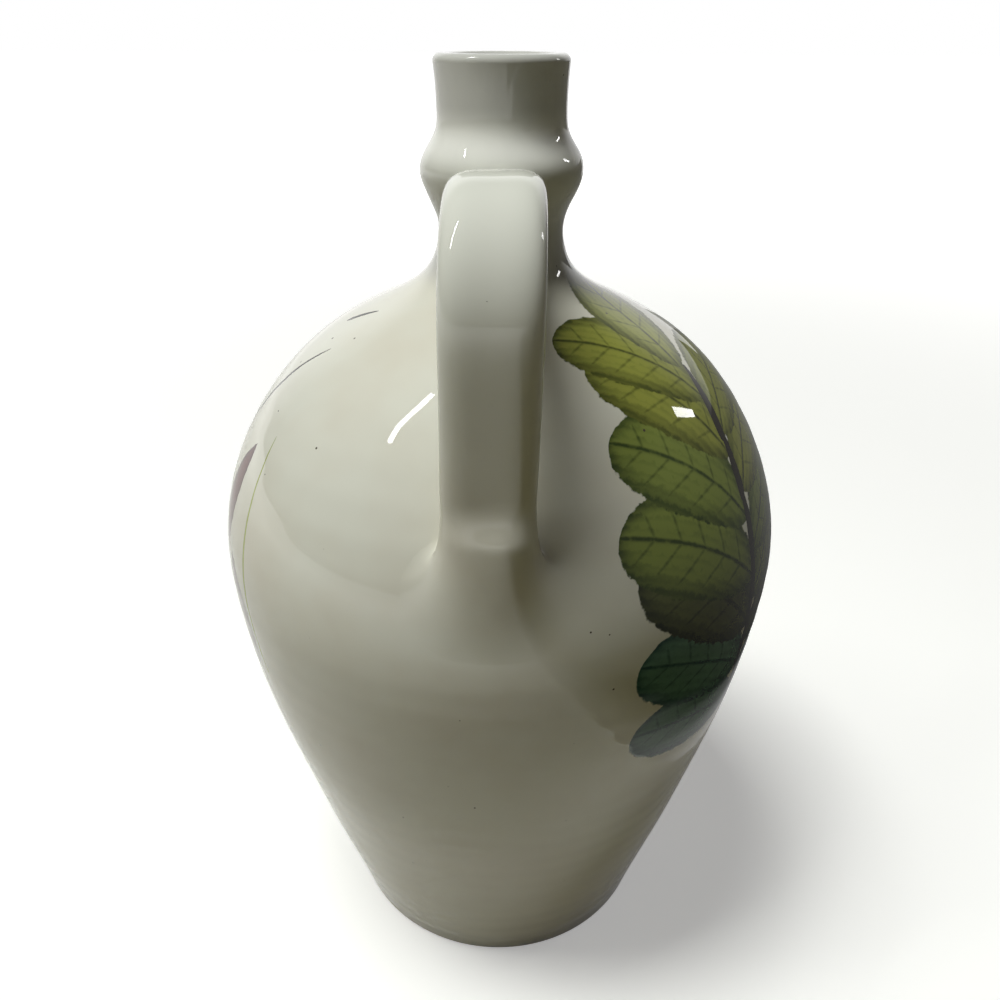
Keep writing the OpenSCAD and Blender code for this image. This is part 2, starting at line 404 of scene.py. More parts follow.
def add_node(tree: NodeTree, kind: str, inputs: dict | list | tuple = (), operation: str = "",
             **settings) -> bpy.types.NodeOutputs:
    """Adds a node, sets its properties, and fills or links its inputs.

    Args:
        tree: Node tree that takes the node.
        kind: Blender's name of the node's type, less the ShaderNode that most begin with.
        inputs: Values or output sockets, in order or by the name or number of the input that they go to.
        operation: What a maths node works out.
        settings: Other properties of the node.

    Returns:
        The new node's outputs.
    """
    node = tree.nodes.new(kind if kind.startswith("NodeGroup") else f"ShaderNode{kind}")
    if operation:
        node.operation = operation
    for name, value in settings.items():
        setattr(node, name, value)
    for key, value in inputs.items() if isinstance(inputs, dict) else enumerate(inputs):
        if isinstance(value, NodeSocket):
            tree.links.new(value, node.inputs[key])
        else:
            node.inputs[key].default_value = value
    return node.outputs


def emptied(made: Material | bpy.types.World) -> partial:
    """Clears the nodes of a material or world.

    Args:
        made: The material or world.

    Returns:
        The helper that adds nodes to it.
    """
    made.use_nodes = True
    made.node_tree.nodes.clear()
    return partial(add_node, made.node_tree)


def linear(hex_colour: str) -> tuple[float, float, float, float]:
    """Linear colour of an sRGB hex value such as #A0B1C2, with full opacity."""
    channels = [int(hex_colour[i : i + 2], 16) / 255 for i in (1, 3, 5)]
    return (*(c / 12.92 if c <= 0.04045 else ((c + 0.055) / 1.055) ** 2.4 for c in channels), 1.0)


class Pigment(Enum):
    """In-glaze colours, as the thin wash and the darker pool where the brush lets go."""

    OLIVE = ("#8E9240", "#484D20")
    GREEN = ("#7C8840", "#39461F")
    MOSS = ("#5C6237", "#282E18")
    TEAL = ("#5C826C", "#23493C")
    PLUM = ("#6E3A38", "#3A1A1C")
    LIME = ("#A9B25E", "#8E9A48")
    INK = ("#35312A", "#24211C")


class Tip(Enum):
    """How a brush stroke ends: its outline's power of 1 - x squared, and its swell towards the tip."""

    ROUND = (0.5, 0.22)
    POINTED = (0.85, -0.1)
    LINE = (0.3, -0.45)
    BERRY = (0.5, 0.0)


@dataclass(frozen=True)
class Stroke:
    """One brush stroke, centred on the belly at an azimuth and a height in millimetres.

    turn is the angle in degrees of the stroke's run, 0 to the right and 90 up. bow is its sideways bend as a
    share of half its width, and vein the strength of its midrib.
    """

    azimuth: float
    height: float
    turn: float
    length: float
    width: float
    pigment: Pigment
    tip: Tip = Tip.ROUND
    bow: float = 0.0
    vein: float = 0.0


@dataclass(frozen=True)
class Branch:
    """A painted branch that climbs the pot: a stem walked in even steps, with a pair of leaves at each step.

    start is the stem's foot as azimuth and height, heading its first direction in degrees, 0 to the right
    and 90 up, and bend the turn at each step. Leaves stand off the stem by spread, and swing by sway from
    one step to the next, as a quick brush sets them. They are largest at the share fullest of the stem. One
    more leaf ends it, smaller by last_size.
    """

    start: Pair
    heading: float
    bend: float
    step: float
    steps: int
    leaf_length: float
    leaf_width: float
    spread: float
    shades: tuple[Pigment, ...]
    sway: float = 7.0
    sway_pace: float = 2.1
    fullest: float = 0.4
    taper: float = 0.28
    stagger: float = 0.25
    leaf_reach: float = 0.52
    leaf_bow: float = 0.22
    last_size: float = 0.85
    last_reach: float = 0.4
    last_bow: float = 0.1
    stem_width: float = 3.4
    stem_overlap: float = 1.5

    def strokes(self, outline: Outline) -> list[Stroke]:
        """Leaves, those lowest on the stem first, and then the stem over them.

        Args:
            outline: Outside of the pot.

        Returns:
            The strokes.
        """
        leaves: list[Stroke] = []
        stems: list[Stroke] = []
        here, heading = self.start, self.heading
        for k in range(self.steps):
            shade = self.shades[k * len(self.shades) // self.steps]
            size = 1.0 - self.taper * abs(k / (self.steps - 1) - self.fullest)
            length, width = self.leaf_length * size, self.leaf_width * size
            for hand in (-1, 1):
                turn = heading + hand * (self.spread + self.sway * math.sin(self.sway_pace * k + hand))
                root = outline.walk(here, heading, self.step * self.stagger * (1 + hand))
                middle = outline.walk(root, turn, length * self.leaf_reach)
                bow = -self.leaf_bow * hand
                leaves.append(Stroke(*middle, turn, length, width, shade, Tip.ROUND, bow, 1.0))
            middle = outline.walk(here, heading, self.step / 2)
            stems.append(Stroke(*middle, heading, self.step * self.stem_overlap, self.stem_width, Pigment.INK,
                                Tip.LINE))
            here, heading = outline.walk(here, heading, self.step), heading + self.bend
        last = outline.walk(here, heading, self.leaf_length * self.last_reach)
        length, width = self.leaf_length * self.last_size, self.leaf_width * self.last_size
        leaves.append(Stroke(*last, heading, length, width, self.shades[-1], Tip.ROUND, self.last_bow, 1.0))
        return leaves + stems


@dataclass(frozen=True)
class Garland:
    """Painted decoration round the belly: two leafy branches, a bunch of plum berries and tendrils."""

    outline: Outline
    berry: float = 15.0
    berry_pitch: float = 0.92
    berry_turn: float = 35.0
    row_pitch: float = 0.8
    bunch: Pair = (165.0, 190.0)
    bunch_rows: tuple[int, ...] = (4, 5, 4, 3, 2, 1)

    def strokes(self) -> list[Stroke]:
        """All brush strokes.

        Returns:
            The strokes, those underneath first.
        """
        shades = (Pigment.TEAL, Pigment.MOSS, Pigment.GREEN, Pigment.OLIVE, Pigment.OLIVE)
        right = Branch(start=(61.0, 108.0), heading=102.0, bend=-5.0, step=17.0, steps=7, leaf_length=58.0,
                       leaf_width=31.0, spread=57.0, shades=shades)
        back = Branch(start=(258.0, 126.0), heading=104.0, bend=5.0, step=22.0, steps=4, leaf_length=42.0,
                      leaf_width=20.0, spread=54.0, shades=shades)
        return right.strokes(self.outline) + back.strokes(self.outline) + self.berries() + self.tendrils()

    def berries(self) -> list[Stroke]:
        """Berries in rows that narrow downwards, each row shifted by half a berry."""
        centre, top = self.bunch
        return [
            Stroke(*self.outline.walk((centre, top - row * self.berry * self.row_pitch), 0.0,
                                      (k - (count - 1) / 2) * self.berry * self.berry_pitch),
                   self.berry_turn * k, self.berry, self.berry, Pigment.PLUM, Tip.BERRY)
            for row, count in enumerate(self.bunch_rows)
            for k in range(count)
        ]

    def tendrils(self) -> list[Stroke]:
        """Thin lines and two plum leaves at the left end of the garland."""
        return [
            Stroke(294.0, 181.0, 84.0, 38.0, 12.0, Pigment.PLUM, Tip.POINTED, 0.5, 0.6),
            Stroke(300.0, 146.0, 104.0, 40.0, 12.0, Pigment.PLUM, Tip.POINTED, -0.4, 0.6),
            Stroke(306.0, 168.0, 96.0, 76.0, 1.3, Pigment.LIME, Tip.LINE, 1.5),
            Stroke(285.0, 210.0, 66.0, 46.0, 1.6, Pigment.INK, Tip.LINE, 1.2),
            Stroke(284.0, 230.0, 52.0, 13.0, 1.6, Pigment.INK, Tip.LINE, 0.4),
        ]


@dataclass(frozen=True)
class BrushStroke:
    """Node group of one brush stroke, worked out in the stroke's own frame on the clay.

    The Mapping node turns a point of the vase into x along the stroke and y across it, both from -1 to 1.
    The stroke lies where y, less the bow, is under the half width: a power of 1 - x squared, swelled
    towards the tip. The pigment's grain roughens the edge, the colour pools along it, and the bristles
    leave lines along the stroke, as a sine of the way across it.
    """

    edge_softness: float = 0.05
    grain_reach: float = 0.22
    grain_depth: float = 0.9
    pool_reach: float = 0.55
    pool_depth: float = 0.85
    vein_width: float = 0.075
    vein_slant: float = 0.35
    vein_gap: float = 0.16
    side_vein_share: float = 0.5
    side_vein_depth: float = 0.55
    bristle_pitch: float = 30.0
    bristle_drift: float = 9.0
    bristle_depth: float = 0.13
    skin_depth: float = -0.3
    skin_reach: float = 0.7

    def group(self) -> NodeTree:
        """Builds the node group.

        Returns:
            The group, with the colour under the stroke as an input and the painted colour as its output.
        """
        tree = bpy.data.node_groups.new("brush_stroke", "ShaderNodeTree")
        add = partial(add_node, tree)
        sockets = {"Position": "Vector", "Grain": "Float", "Under": "Color", "Place": "Vector",
                   "Turn": "Vector", "Half size": "Vector", "Bow": "Float", "Power": "Float",
                   "Swell": "Float", "Wash": "Color", "Pool": "Color", "Vein": "Float"}
        for name, kind in sockets.items():
            tree.interface.new_socket(name, in_out="INPUT", socket_type=f"NodeSocket{kind}")
        tree.interface.new_socket("Colour", in_out="OUTPUT", socket_type="NodeSocketColor")
        given = add("NodeGroupInput")
        grain = given["Grain"]
        frame_inputs = [given[name] for name in ("Position", "Place", "Turn", "Half size")]
        own = add("Mapping", frame_inputs, vector_type="TEXTURE")[0]
        x, y, depth = add("SeparateXYZ", [own])
        square = add("Math", [x, x], "MULTIPLY")[0]
        left = add("Math", [1.0, square], "SUBTRACT")[0]
        inside = add("Math", [left, 0.0], "MAXIMUM")[0]
        body = add("Math", [inside, given["Power"]], "POWER")[0]
        swell = add("Math", [x, given["Swell"], 1.0], "MULTIPLY_ADD")[0]
        half = add("Math", [body, swell], "MULTIPLY")[0]
        bent = add("Math", [inside, given["Bow"], y], "MULTIPLY_ADD")[0]
        off = add("Math", [bent], "ABSOLUTE")[0]
        room = add("Math", [half, off], "SUBTRACT")[0]
        rough = add("Math", [grain, self.grain_reach, room], "MULTIPLY_ADD")[0]
        edge = add("MapRange", [rough, 0.0, self.edge_softness], **UNCLAMPED)[0]
        near = add("Math", [depth, self.skin_depth, self.skin_reach], "COMPARE")[0]
        ends = add("Math", [x, 0.0, 1.0], "COMPARE")[0]
        there = add("Math", [near, ends], "MULTIPLY")[0]
        mask = add("Math", [edge, there], "MULTIPLY")[0]
        pool = add("MapRange", [rough, 0.0, self.pool_reach, self.pool_depth, 0.0], **UNCLAMPED)[0]
        midrib = add("MapRange", [off, 0.0, self.vein_width, 1.0, 0.0], **UNCLAMPED)[0]
        slant = add("Math", [off, -self.vein_slant, x], "MULTIPLY_ADD")[0]
        wave = add("Math", [slant, self.vein_gap], "PINGPONG")[0]
        thin = self.vein_width * self.side_vein_share
        side = add("MapRange", [wave, 0.0, thin, self.side_vein_depth, 0.0], **UNCLAMPED)[0]
        ribs = add("Math", [midrib, side], "MAXIMUM")[0]
        vein = add("Math", [ribs, given["Vein"]], "MULTIPLY")[0]
        dark = add("Math", [pool, vein], "MAXIMUM")[0]
        drift = add("Math", [grain, self.bristle_drift], "MULTIPLY")[0]
        across = add("Math", [bent, self.bristle_pitch, drift], "MULTIPLY_ADD")[0]
        lines = add("Math", [across], "SINE")[0]
        hairs = add("Math", [lines, self.bristle_depth, dark], "MULTIPLY_ADD")[0]
        shade = add("Math", [grain, self.grain_depth, hairs], "MULTIPLY_ADD")[0]
        paint = add("Mix", {0: shade, 6: given["Wash"], 7: given["Pool"]}, **RGBA)[2]
        over = add("Mix", {0: mask, 6: given["Under"], 7: paint}, **RGBA)[2]
        add("NodeGroupOutput", {"Colour": over})
        return tree


@dataclass(frozen=True)
class Noise:
    """Cloudy noise: the size of its clouds, the number of finer layers in them and how strong those are."""

    size_mm: float
    layers: float
    strength: float

    def inputs(self, place: NodeSocket) -> dict:
        """Inputs of a noise node for a position in metres."""
        scale = 1 / (self.size_mm * MM)
        return {"Vector": place, "Scale": scale, "Detail": self.layers, "Roughness": self.strength}


@dataclass(frozen=True)
class TinGlaze:
    """Tin-glazed earthenware: an opaque ivory glaze, glossy as glass, with clouds, iron specks and paint.

    To the eye it is a soft warm white under a hard clear shine, whose reflections waver a little. Painted
    light whitens it on the collar's upper slope and painted shade greys it on the neck above and below it;
    on the plain pieces a painted cool tint grows towards the top.
    """

    ivory: str = "#DEDED1"
    thin: str = "#D6D2C2"
    # Painted light: a cooler tint towards the top of the plain pieces.
    cool: str = "#DDDED3"
    # Painted light on the collar's upper slope and painted shade on the neck above and below it.
    pooled: str = "#ECECE4"
    drawn: str = "#C8C8C1"
    speck: str = "#4B4238"
    biscuit: str = "#C8A688"
    roughness: float = 0.03
    bare_roughness: float = 0.8
    ior: float = 1.5
    cloud: Noise = Noise(45.0, 3.0, 0.55)
    cloud_edge: Pair = (0.35, 0.7)
    wave: Noise = Noise(30.0, 4.0, 0.6)
    wave_depth_mm: float = 0.05
    grain: Noise = Noise(2.6, 3.0, 0.65)
    grain_middle: float = 0.5
    speck_cell_mm: float = 7.5
    speck_mm: float = 0.5
    speck_share: float = 0.65
    bare_height_mm: float = 1.0
    # Where the neck's painted light and shade lie: inside a radius, and by distance from the collar's height.
    neck_r_mm: Pair = (20.0, 26.0)
    collar_z_mm: float = 278.5
    collar_reach_mm: Pair = (2.5, 9.5)
    cool_z_mm: Pair = (205.0, 255.0)
    stamp_depth_mm: float = 16.0

    def material(self, name: str, outline: Outline, strokes: list[Stroke]) -> Material:
        """Builds the material, with painted strokes where it has them.

        Args:
            name: Name of the material.
            outline: Outside of the vase, which carries the strokes.
            strokes: Brush strokes, those underneath first.

        Returns:
            The material.
        """
        made = bpy.data.materials.new(name)
        add = emptied(made)
        place = add("TexCoord")["Object"]
        cloud = add("TexNoise", self.cloud.inputs(place))[0]
        cover = add("MapRange", [cloud, *self.cloud_edge])[0]
        colour = add("Mix", {0: cover, 6: linear(self.ivory), 7: linear(self.thin)}, **RGBA)[2]
        height = add("SeparateXYZ", [place])[2]
        if strokes:
            colour = self.painted(add, place, colour, outline, strokes)
        else:
            # Painted light: the plain pieces grow cooler towards the top, for the cooler light that falls
            # from above.
            high = add("MapRange", [height, *(z * MM for z in self.cool_z_mm)])[0]
            colour = add("Mix", {0: high, 6: colour, 7: linear(self.cool)}, **RGBA)[2]
        # Painted light on the collar and painted shade on the neck.
        colour = self.drawn_neck(add, place, height, colour)
        cells = add("TexVoronoi", {"Vector": place, "Scale": 1 / (self.speck_cell_mm * MM)})
        chosen = add("SeparateColor", [cells["Color"]])
        size = add("Math", [chosen[1], self.speck_mm / self.speck_cell_mm], "MULTIPLY")[0]
        few = add("Math", [chosen[0], self.speck_share], "LESS_THAN")[0]
        reach = add("Math", [size, few], "MULTIPLY")[0]
        speck = add("Math", [cells["Distance"], reach], "LESS_THAN")[0]
        colour = add("Mix", {0: speck, 6: colour, 7: linear(self.speck)}, **RGBA)[2]
        wave = add("TexNoise", self.wave.inputs(place))[0]
        bump = add("Bump", {"Height": wave, "Strength": 1.0, "Distance": self.wave_depth_mm * MM})[0]
        bare = add("Math", [height, self.bare_height_mm * MM], "LESS_THAN")[0]
        colour = add("Mix", {0: bare, 6: colour, 7: linear(self.biscuit)}, **RGBA)[2]
        dull = add("MapRange", [bare, 0.0, 1.0, self.roughness, self.bare_roughness])[0]
        shader = add("BsdfPrincipled", {"Base Color": colour, "Roughness": dull, "IOR": self.ior,
                                        "Normal": bump})[0]
        add("OutputMaterial", [shader])
        return made

    def drawn_neck(self, add: partial, place: NodeSocket, height: NodeSocket,
                   colour: NodeSocket) -> NodeSocket:
        """Painted light on the collar's upper slope, painted shade on the neck above and below it.

        Args:
            add: Helper that adds nodes to the material.
            place: Position on the vase, in metres.
            height: Height of that position.
            colour: Colour of the full glaze.

        Returns:
            The colour with the painted light and shade of the neck laid in.
        """
        level = add("VectorMath", [place, (1.0, 1.0, 0.0)], "MULTIPLY")[0]
        radius = add("VectorMath", [level], "LENGTH")["Value"]
        close = add("MapRange", [radius, *(r * MM for r in self.neck_r_mm), 1.0, 0.0], **UNCLAMPED)[0]
        above = add("Math", [height, self.collar_z_mm * MM], "SUBTRACT")[0]
        off = add("Math", [above], "ABSOLUTE")[0]
        # Share of painted shade: 0 at the collar's height, where the painted light lies, and 1 farther up and
        # down.
        thin = add("MapRange", [off, *(z * MM for z in self.collar_reach_mm)], **UNCLAMPED)[0]
        neck = add("Mix", {0: thin, 6: linear(self.pooled), 7: linear(self.drawn)}, **RGBA)[2]
        return add("Mix", {0: close, 6: colour, 7: neck}, **RGBA)[2]

    def painted(self, add: partial, place: NodeSocket, colour: NodeSocket, outline: Outline,
                strokes: list[Stroke]) -> NodeSocket:
        """Lays the strokes over a colour, each in its own frame on the belly.

        Args:
            add: Helper that adds nodes to the material.
            place: Position on the vase, in metres.
            colour: Colour under the paint.
            outline: Outside of the vase.
            strokes: Brush strokes, those underneath first.

        Returns:
            The painted colour.
        """
        group = BrushStroke().group()
        grain = add("TexNoise", self.grain.inputs(place))[0]
        signed = add("Math", [grain, self.grain_middle], "SUBTRACT")[0]
        for stroke in strokes:
            azimuth = np.array(math.radians(stroke.azimuth))
            point, up, out = outline.surface(azimuth, np.array(stroke.height))
            turn = math.radians(stroke.turn)
            along = math.cos(turn) * np.cross(up, out) + math.sin(turn) * up
            axes = Matrix(np.stack([along, np.cross(out, along), out], axis=-1).tolist())
            (power, swell), (wash, pool) = stroke.tip.value, stroke.pigment.value
            half = (stroke.length / 2 * MM, stroke.width / 2 * MM, self.stamp_depth_mm * MM)
            values = {"Position": place, "Grain": signed, "Under": colour, "Place": Vector(point * MM),
                      "Turn": Vector(axes.to_euler("XYZ")), "Half size": half, "Bow": -stroke.bow,
                      "Power": power, "Swell": swell, "Wash": linear(wash), "Pool": linear(pool),
                      "Vein": stroke.vein}
            colour = add("Group", values, node_tree=group)[0]
        return colour


@dataclass
class ClayPiece:
    """A clay piece of the vase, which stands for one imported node."""

    piece: Piece
    outline: Outline

    def grid(self) -> Grid:
        """Rings of points, the poles that close them, and whether the rings close on themselves."""
        raise NotImplementedError

    def build(self) -> Object:
        """Makes the mesh, lets it ride on the vase's body and hides the node that it stands for.

        Returns:
            The piece's object.
        """
        made = make_object(f"{self.piece.value}_glazed", *self.grid())
        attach(made, BODY_NAME)
        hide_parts(self.piece.value)
        LOG.info("%s: %d faces", made.name, len(made.data.polygons))
        return made

    def dress(self, made: Object, material: Material) -> None:
        """Gives the piece its finish."""
        made.data.materials.append(material)


@dataclass
class Belly(ClayPiece):
    """The thrown belly: outside, flat rim, throat, inside wall and floor, turned as one closed profile."""

    wall: float = 6.0
    floor_t: float = 9.0
    floor_round: float = 14.0
    floor_pull: float = 2.0
    throat_r: float = 15.0
    throat_t: float = 7.0
    foot_rings: int = 6
    outside_rings: int = 190
    inside_rings: int = 48
    bowl_rings: int = 10
    points_round: int = 360

    def grid(self) -> Grid:
        """The outside from the foot's middle up to the rim, then the inside down to the floor's middle.

        Returns:
            Rings, poles and whether the rings close, as for every piece.
        """
        line = self.outline
        foot_middle = (line.foot_r - line.foot_round, line.foot_round)
        foot = arc(foot_middle, line.foot_round, -90.0, -line.foot_lean, self.foot_rings)
        outside = line.stretch(line.foot_round, line.rim_z, self.outside_rings)
        ceiling = line.rim_z - self.throat_t
        rim = np.array([[self.throat_r, line.rim_z], [self.throat_r, ceiling]])
        z = np.linspace(ceiling - self.wall, self.floor_t + self.floor_round, self.inside_rings)
        lean = np.hypot(1.0, line.slope(z))
        inside = np.stack([line.radius(z) - self.wall * lean, z], axis=-1)
        edge = inside[-1]
        corner = [edge[0] - self.floor_pull, self.floor_t]
        controls = np.array([edge, corner, corner, [edge[0] - self.floor_round, self.floor_t]])
        bowl = cubic(controls, np.linspace(0.0, 1.0, self.bowl_rings)[1:])
        rows = np.concatenate([[[line.foot_r / 2, 0.0]], foot, outside, rim, inside, bowl])
        poles = [np.zeros(3), np.array([0.0, 0.0, self.floor_t])]
        return line.turned(rows, self.points_round), poles, False


@dataclass
class NeckCoil(ClayPiece):
    """The clay coil in the corner between shoulder and neck: a ring with a hollow face."""

    stem_r: float = 17.0
    face_rings: int = 40
    points_round: int = 256

    def grid(self) -> Grid:
        """The hollow face from rim to waist, then the seat on the neck's stem, closed on itself.

        Returns:
            Rings, poles and whether the rings close, as for every piece.
        """
        line = self.outline
        face = line.stretch(line.rim_z, line.waist_z, self.face_rings)
        seat = np.array([[self.stem_r, line.waist_z], [self.stem_r, line.rim_z]])
        return line.turned(np.concatenate([face, seat]), self.points_round), [], True


@dataclass
class Neck(ClayPiece):
    """The thrown neck: its collar, its rounded lip and its straight bore."""

    stem_r: float = 17.0
    bore_r: float = 13.0
    lip_round: float = 2.0
    outside_rings: int = 90
    lip_rings: int = 9
    bore_rings: int = 12
    points_round: int = 256

    def grid(self) -> Grid:
        """The outside from the waist to the lip, the lip's two rounds, the bore and the hidden stem.

        Returns:
            Rings, poles and whether the rings close, as for every piece.
        """
        line = self.outline
        top = line.top_z - self.lip_round
        outside = line.stretch(line.waist_z, top, self.outside_rings)
        outer = arc((outside[-1, 0] - self.lip_round, top), self.lip_round, 0.0, 90.0, self.lip_rings)[1:]
        inner = arc((self.bore_r + self.lip_round, top), self.lip_round, 90.0, 180.0, self.lip_rings)
        z = np.linspace(top, line.rim_z, self.bore_rings)[1:]
        bore = np.stack([np.full_like(z, self.bore_r), z], axis=-1)
        stem = np.array([[self.stem_r, line.rim_z], [self.stem_r, line.waist_z]])
        return line.turned(np.concatenate([outside, outer, inner, bore, stem]), self.points_round), [], True


@dataclass(frozen=True)
class Strap:
    """Middle line and section of the strap: a short climb from the collar, one bend, and a straight fall.

    The line lies in the handle's plane as distance out from the axis and height, and eases into its bend and
    out of it. The section is a superellipse: its width and thickness times powers of the cosine and sine of
    a steady angle. Its widest line lies below the middle, by crown as the outer face's share of the
    thickness. That face is pressed slightly hollow, and the strap is narrower at the collar.
    """

    outline: Outline
    width: float = 23.2
    thickness: float = 7.6
    square: float = 2.6
    crown: float = 0.8
    hollow: float = 0.8
    bend_r: float = 27.0
    top_z: float = 275.4
    climb: float = 11.0
    lean: float = 3.0
    landing_z: float = 194.1
    upper_root_l: float = 8.0
    lower_root_lap: float = 16.0
    ring_points: int = 96
    roll: float = 2.0
    sway: float = 0.7
    ease: float = 6.0
    ease_reach: int = 3
    narrow: float = 0.1
    narrow_share: float = 0.3

    def bend(self) -> tuple[Array, Array]:
        """The bend, placed so that the strap's inner face lands on the shoulder.

        Returns:
            Its first and its last point.
        """
        z = self.top_z - self.bend_r
        lean = math.radians(self.lean)
        landing_out = float(self.outline.radius(np.array(self.landing_z)))
        fall = z - self.bend_r * math.sin(lean) - self.landing_z
        out = landing_out + self.thickness / 2 - self.bend_r * math.cos(lean) + fall * math.tan(lean)
        middle = np.array([out, z])
        end = middle + self.bend_r * np.array([math.cos(lean), -math.sin(lean)])
        return middle + self.bend_r * lean_out(-self.climb), end

    def ends(self) -> tuple[Array, Array, Array, Array]:
        """The middle line's ends.

        Returns:
            The first and the last point, and the headings there.
        """
        start, end = self.bend()
        climb, lean = math.radians(self.climb), math.radians(self.lean)
        leave = np.array([math.cos(climb), math.sin(climb)])
        fall = -lean_out(self.lean)
        upper = (start[0] - self.outline.collar_r - self.upper_root_l) / math.cos(climb)
        lower = (end[1] - self.landing_z) / math.cos(lean) - self.lower_root_lap
        return start - upper * leave, end + lower * fall, leave, fall

    def middle_line(self, count: int) -> tuple[Array, Array]:
        """Points of the middle line and its headings, closest together at both ends.

        Args:
            count: How many points.

        Returns:
            Points and unit headings, each as count by 2.
        """
        first, last, _, _ = self.ends()
        start, end = self.bend()
        climb = math.radians(self.climb)
        turn = math.pi / 2 + climb + math.radians(self.lean)
        into, out_of = np.linalg.norm(start - first), np.linalg.norm(last - end)
        length = into + self.bend_r * turn + out_of
        way = np.linspace(0.0, length, round(length / self.outline.step))
        step = way[1]
        heading = climb - turn * np.clip((way - into) / (self.bend_r * turn), 0.0, 1.0)
        heading = softened(heading, step, self.ease, self.ease_reach, mode="edge")
        run = np.stack([np.cos(heading), np.sin(heading)], axis=-1)
        steps = step * np.cumsum((run[1:] + run[:-1]) / 2, axis=0)
        line = first + np.concatenate([np.zeros((1, 2)), steps])
        line += (way / length)[:, None] * (last - line[-1])
        at = eased(count) * length
        points, headings = (np.stack([np.interp(at, way, column) for column in of.T], axis=-1)
                            for of in (line, run))
        return points, unit(headings)

    def rings(self, points: Array, headings: Array, roll: Array,
              share: Array) -> Array:
        """The section carried along the middle line, square to its heading and rolled about it.

        Args:
            points: Points of the middle line, as count by 2.
            headings: Unit headings there, as count by 2.
            roll: Roll in radians at each point.
            share: Share of the strap's length at each point, from its collar end.

        Returns:
            Points as count by ring points by 3, from the right edge over the outer face.
        """
        flat, tall = superellipse(self.square, self.ring_points).T
        outer, inner = self.crown * self.thickness, (1.0 - self.crown) * self.thickness
        rise = inner - self.thickness / 2 + tall * np.where(tall > 0, outer, inner)
        rise -= self.hollow * (1.0 - flat**2) ** 2 * (tall > 0)
        wide = 1.0 - self.narrow * np.clip(1.0 - share / self.narrow_share, 0.0, 1.0) ** 2
        side = wide[:, None] * flat * self.width / 2
        across = np.cos(roll)[:, None] * side - np.sin(roll)[:, None] * rise
        over = np.sin(roll)[:, None] * side + np.cos(roll)[:, None] * rise
        out = points[:, :1] - headings[:, 1:] * over
        up = points[:, 1:] + headings[:, :1] * over
        return np.stack([across, -out, up], axis=-1)


@dataclass
class Handle(ClayPiece):
    """The pulled strap, with a slight roll and sway at its bend as the hand left it."""

    strap: Strap
    ring_count: int = 150

    def grid(self) -> Grid:
        """The strap's rings from the collar end to the shoulder end, closed by a fan at each end.

        Returns:
            Rings, poles and whether the rings close, as for every piece.
        """
        points, headings = self.strap.middle_line(self.ring_count)
        free = np.sin(math.pi * np.linspace(0.0, 1.0, self.ring_count)) ** 2
        roll = math.radians(self.strap.roll) * free
        rings = self.strap.rings(points, headings, roll, eased(self.ring_count))
        rings[..., 0] += self.strap.sway * free[:, None]
        return rings, [rings[0].mean(axis=0), rings[-1].mean(axis=0)], False


@dataclass
class Root(ClayPiece):
    """Clay that beds an end of the strap: lines from the strap's section to an oval seat on the pot.

    Each line is a cubic curve that leaves along the strap and runs out along the pot's skin, away from the
    seat's middle, so that the root flares like a trumpet and melts into the wall. The seat is widest at
    seat_z and narrows to top_half_w at its top. face_up is 1 where the strap's outer face runs out upwards
    on the pot, and -1 where it runs out downwards.
    """

    strap: Strap
    seat_z: float
    seat_up: float
    seat_down: float
    seat_half_w: float
    top_half_w: float
    face_up: float = 1.0
    leave_share: float = 0.4
    arrive_share: float = 0.5
    seat_square: float = 2.3
    sink: float = 0.03
    dip: float = 0.5
    ring_count: int = 48
    plug_depth: float = 3.0
    plug_share: float = 0.5

    def strap_end(self) -> tuple[Array, Array, float]:
        """Middle of the strap's end, the heading out of it towards the pot, and its share of the length."""
        raise NotImplementedError

    def pad(self, rings: Array) -> Array:
        """Clay laid over the strap's end, as an offset away from the pot at each point of the rings."""
        return np.zeros(rings.shape[:2])

    def grid(self) -> Grid:
        """Rings from the strap's end to the seat, then a plug inside the wall.

        Returns:
            Rings, poles and whether the rings close, as for every piece.
        """
        end, heading, share = self.strap_end()
        along = -self.face_up * heading[None]
        ring = self.strap.rings(end[None], along, np.zeros(1), np.array([share]))[0]
        oval = superellipse(self.seat_square, len(ring))
        rise = oval[:, 1] * self.face_up
        z = self.seat_z + np.where(rise > 0, self.seat_up, self.seat_down) * rise
        half_w = self.seat_half_w + (self.top_half_w - self.seat_half_w) * np.maximum(rise, 0.0)
        azimuth = np.arcsin(oval[:, 0] * half_w / self.outline.radius(z))
        seat, up, out = self.outline.surface(azimuth, z)
        run = unit(oval[:, :1] * np.cross(up, out) + rise[:, None] * up)
        dip = math.radians(self.dip)
        arrive = math.cos(dip) * run - math.sin(dip) * out
        seat = seat - self.sink * out
        span = np.linalg.norm(seat - ring, axis=-1, keepdims=True)
        leave = np.array([0.0, -heading[0], heading[1]])
        controls = np.stack([ring, ring + self.leave_share * span * leave,
                             seat - self.arrive_share * span * arrive, seat])
        rings = cubic(controls, eased(self.ring_count))
        rings[..., 1] -= self.pad(rings)
        plug = seat - self.plug_depth * out
        middle = plug.mean(axis=0)
        inner = self.plug_share * plug + (1.0 - self.plug_share) * middle
        rings = np.concatenate([rings, inner[None]])
        return rings[:, :: -int(self.face_up)], [ring.mean(axis=0), middle], False


@dataclass
class UpperRoot(Root):
    """Root of the strap on the neck's collar."""

    def strap_end(self) -> tuple[Array, Array, float]:
        """The strap's first point, heading back to the collar."""
        first, _, leave, _ = self.strap.ends()
        return first, -leave, 0.0


